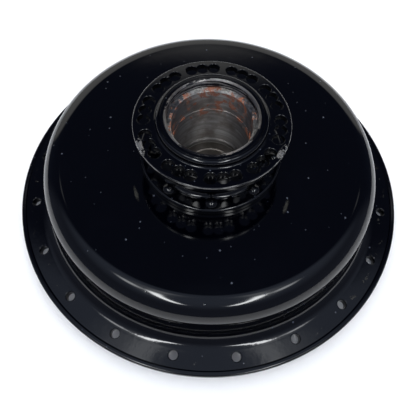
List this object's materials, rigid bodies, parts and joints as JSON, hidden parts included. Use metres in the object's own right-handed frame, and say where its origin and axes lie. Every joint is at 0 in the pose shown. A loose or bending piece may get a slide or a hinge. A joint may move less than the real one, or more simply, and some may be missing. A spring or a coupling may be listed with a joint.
{
  "type": "drum-brake wheel hub",
  "caption": "Half-width drum-brake hub for a spoked motorcycle wheel: gloss black drum with a spoke flange, riveted nose barrel, bare bearing bore, and brake plate with shoes and cam.",
  "frame": {"origin": "centre of the drum's bottom rim, in the plane that the hub stands on", "axes": "+Z along the wheel axis from the open side of the drum to the nose; the brake cam lies on -Y and the shoe pivot on +Y"},
  "size_m": [0.2286, 0.2286, 0.0792],
  "materials": {
    "black_enamel": "high gloss stoved enamel with dust specks, thin at the edges",
    "bare_steel": "turned bare steel with light rust",
    "bearing_steel": "ground and polished",
    "plated_steel": "dull zinc plate",
    "dark_steel": "blackened, oily",
    "cast_alloy": "sand cast with machined faces",
    "bronze": "bronze, turned",
    "brass": "brass, satin",
    "brake_lining": "matt woven and moulded friction material",
    "felt": "dense wool felt"
  },
  "bodies": {
    "hub": {"drum_shell": "black_enamel", "nose_barrel": "black_enamel", "barrel_rivet_1": "black_enamel", "barrel_rivet_2": "black_enamel", "barrel_rivet_3": "black_enamel", "barrel_rivet_4": "black_enamel", "barrel_rivet_5": "black_enamel", "barrel_rivet_6": "black_enamel", "barrel_rivet_7": "black_enamel", "barrel_rivet_8": "black_enamel", "barrel_rivet_9": "black_enamel", "grease_retainer": "plated_steel", "bearing_outer_race": "bearing_steel", "bearing_lock_ring": "dark_steel", "felt_seal": "felt"},
    "cage_set": {"bearing_cage": "brass", "bearing_ball_1": "bearing_steel", "bearing_ball_2": "bearing_steel", "bearing_ball_3": "bearing_steel", "bearing_ball_4": "bearing_steel", "bearing_ball_5": "bearing_steel", "bearing_ball_6": "bearing_steel", "bearing_ball_7": "bearing_steel", "bearing_ball_8": "bearing_steel", "bearing_ball_9": "bearing_steel"},
    "plate_set": {"brake_plate": "cast_alloy", "bearing_inner_race": "bearing_steel", "spindle_sleeve": "bare_steel", "sleeve_nut": "dark_steel", "shoe_pivot_pin": "bare_steel", "pivot_nut": "dark_steel", "cam_bush": "bronze", "cam_end_spring": "dark_steel", "pivot_end_spring": "dark_steel"},
    "leading_shoe_set": {"leading_shoe": "cast_alloy", "leading_lining": "brake_lining"},
    "trailing_shoe_set": {"trailing_shoe": "cast_alloy", "trailing_lining": "brake_lining"},
    "cam_set": {"brake_cam": "bare_steel", "cam_lever": "black_enamel", "cam_washer": "plated_steel", "cam_nut": "dark_steel"}
  },
  "joints": [
    {"name": "wheel_spin", "type": "hinge", "parent": "hub", "child": "plate_set", "pos_m": [0, 0, 0.013], "axis": [0, 0, 1], "continuous": true},
    {"name": "cage_spin", "type": "hinge", "parent": "hub", "child": "cage_set", "pos_m": [0, 0, 0.022], "axis": [0, 0, 1], "continuous": true},
    {"name": "cam_turn", "type": "hinge", "parent": "plate_set", "child": "cam_set", "pos_m": [0, -0.062, 0.015], "axis": [0, 0, 1], "range_deg": [0, 18], "stiffness_Nm_per_rad": 2, "springref_deg": -5.73, "deforming": ["cam_end_spring", "pivot_end_spring"]},
    {"name": "leading_shoe_pivot", "type": "hinge", "parent": "plate_set", "child": "leading_shoe_set", "pos_m": [0, 0.062, 0.0275], "axis": [0, 0, 1], "range_deg": [0, 1]},
    {"name": "trailing_shoe_pivot", "type": "hinge", "parent": "plate_set", "child": "trailing_shoe_set", "pos_m": [0, 0.062, 0.0275], "axis": [0, 0, 1], "range_deg": [-1, 0]}
  ],
  "couplings": [
    {"joint": "cage_spin", "follows": "wheel_spin", "ratio": 0.3976},
    {"joint": "leading_shoe_pivot", "follows": "cam_turn", "ratio": 0.0555},
    {"joint": "trailing_shoe_pivot", "follows": "cam_turn", "ratio": -0.0555}
  ]
}
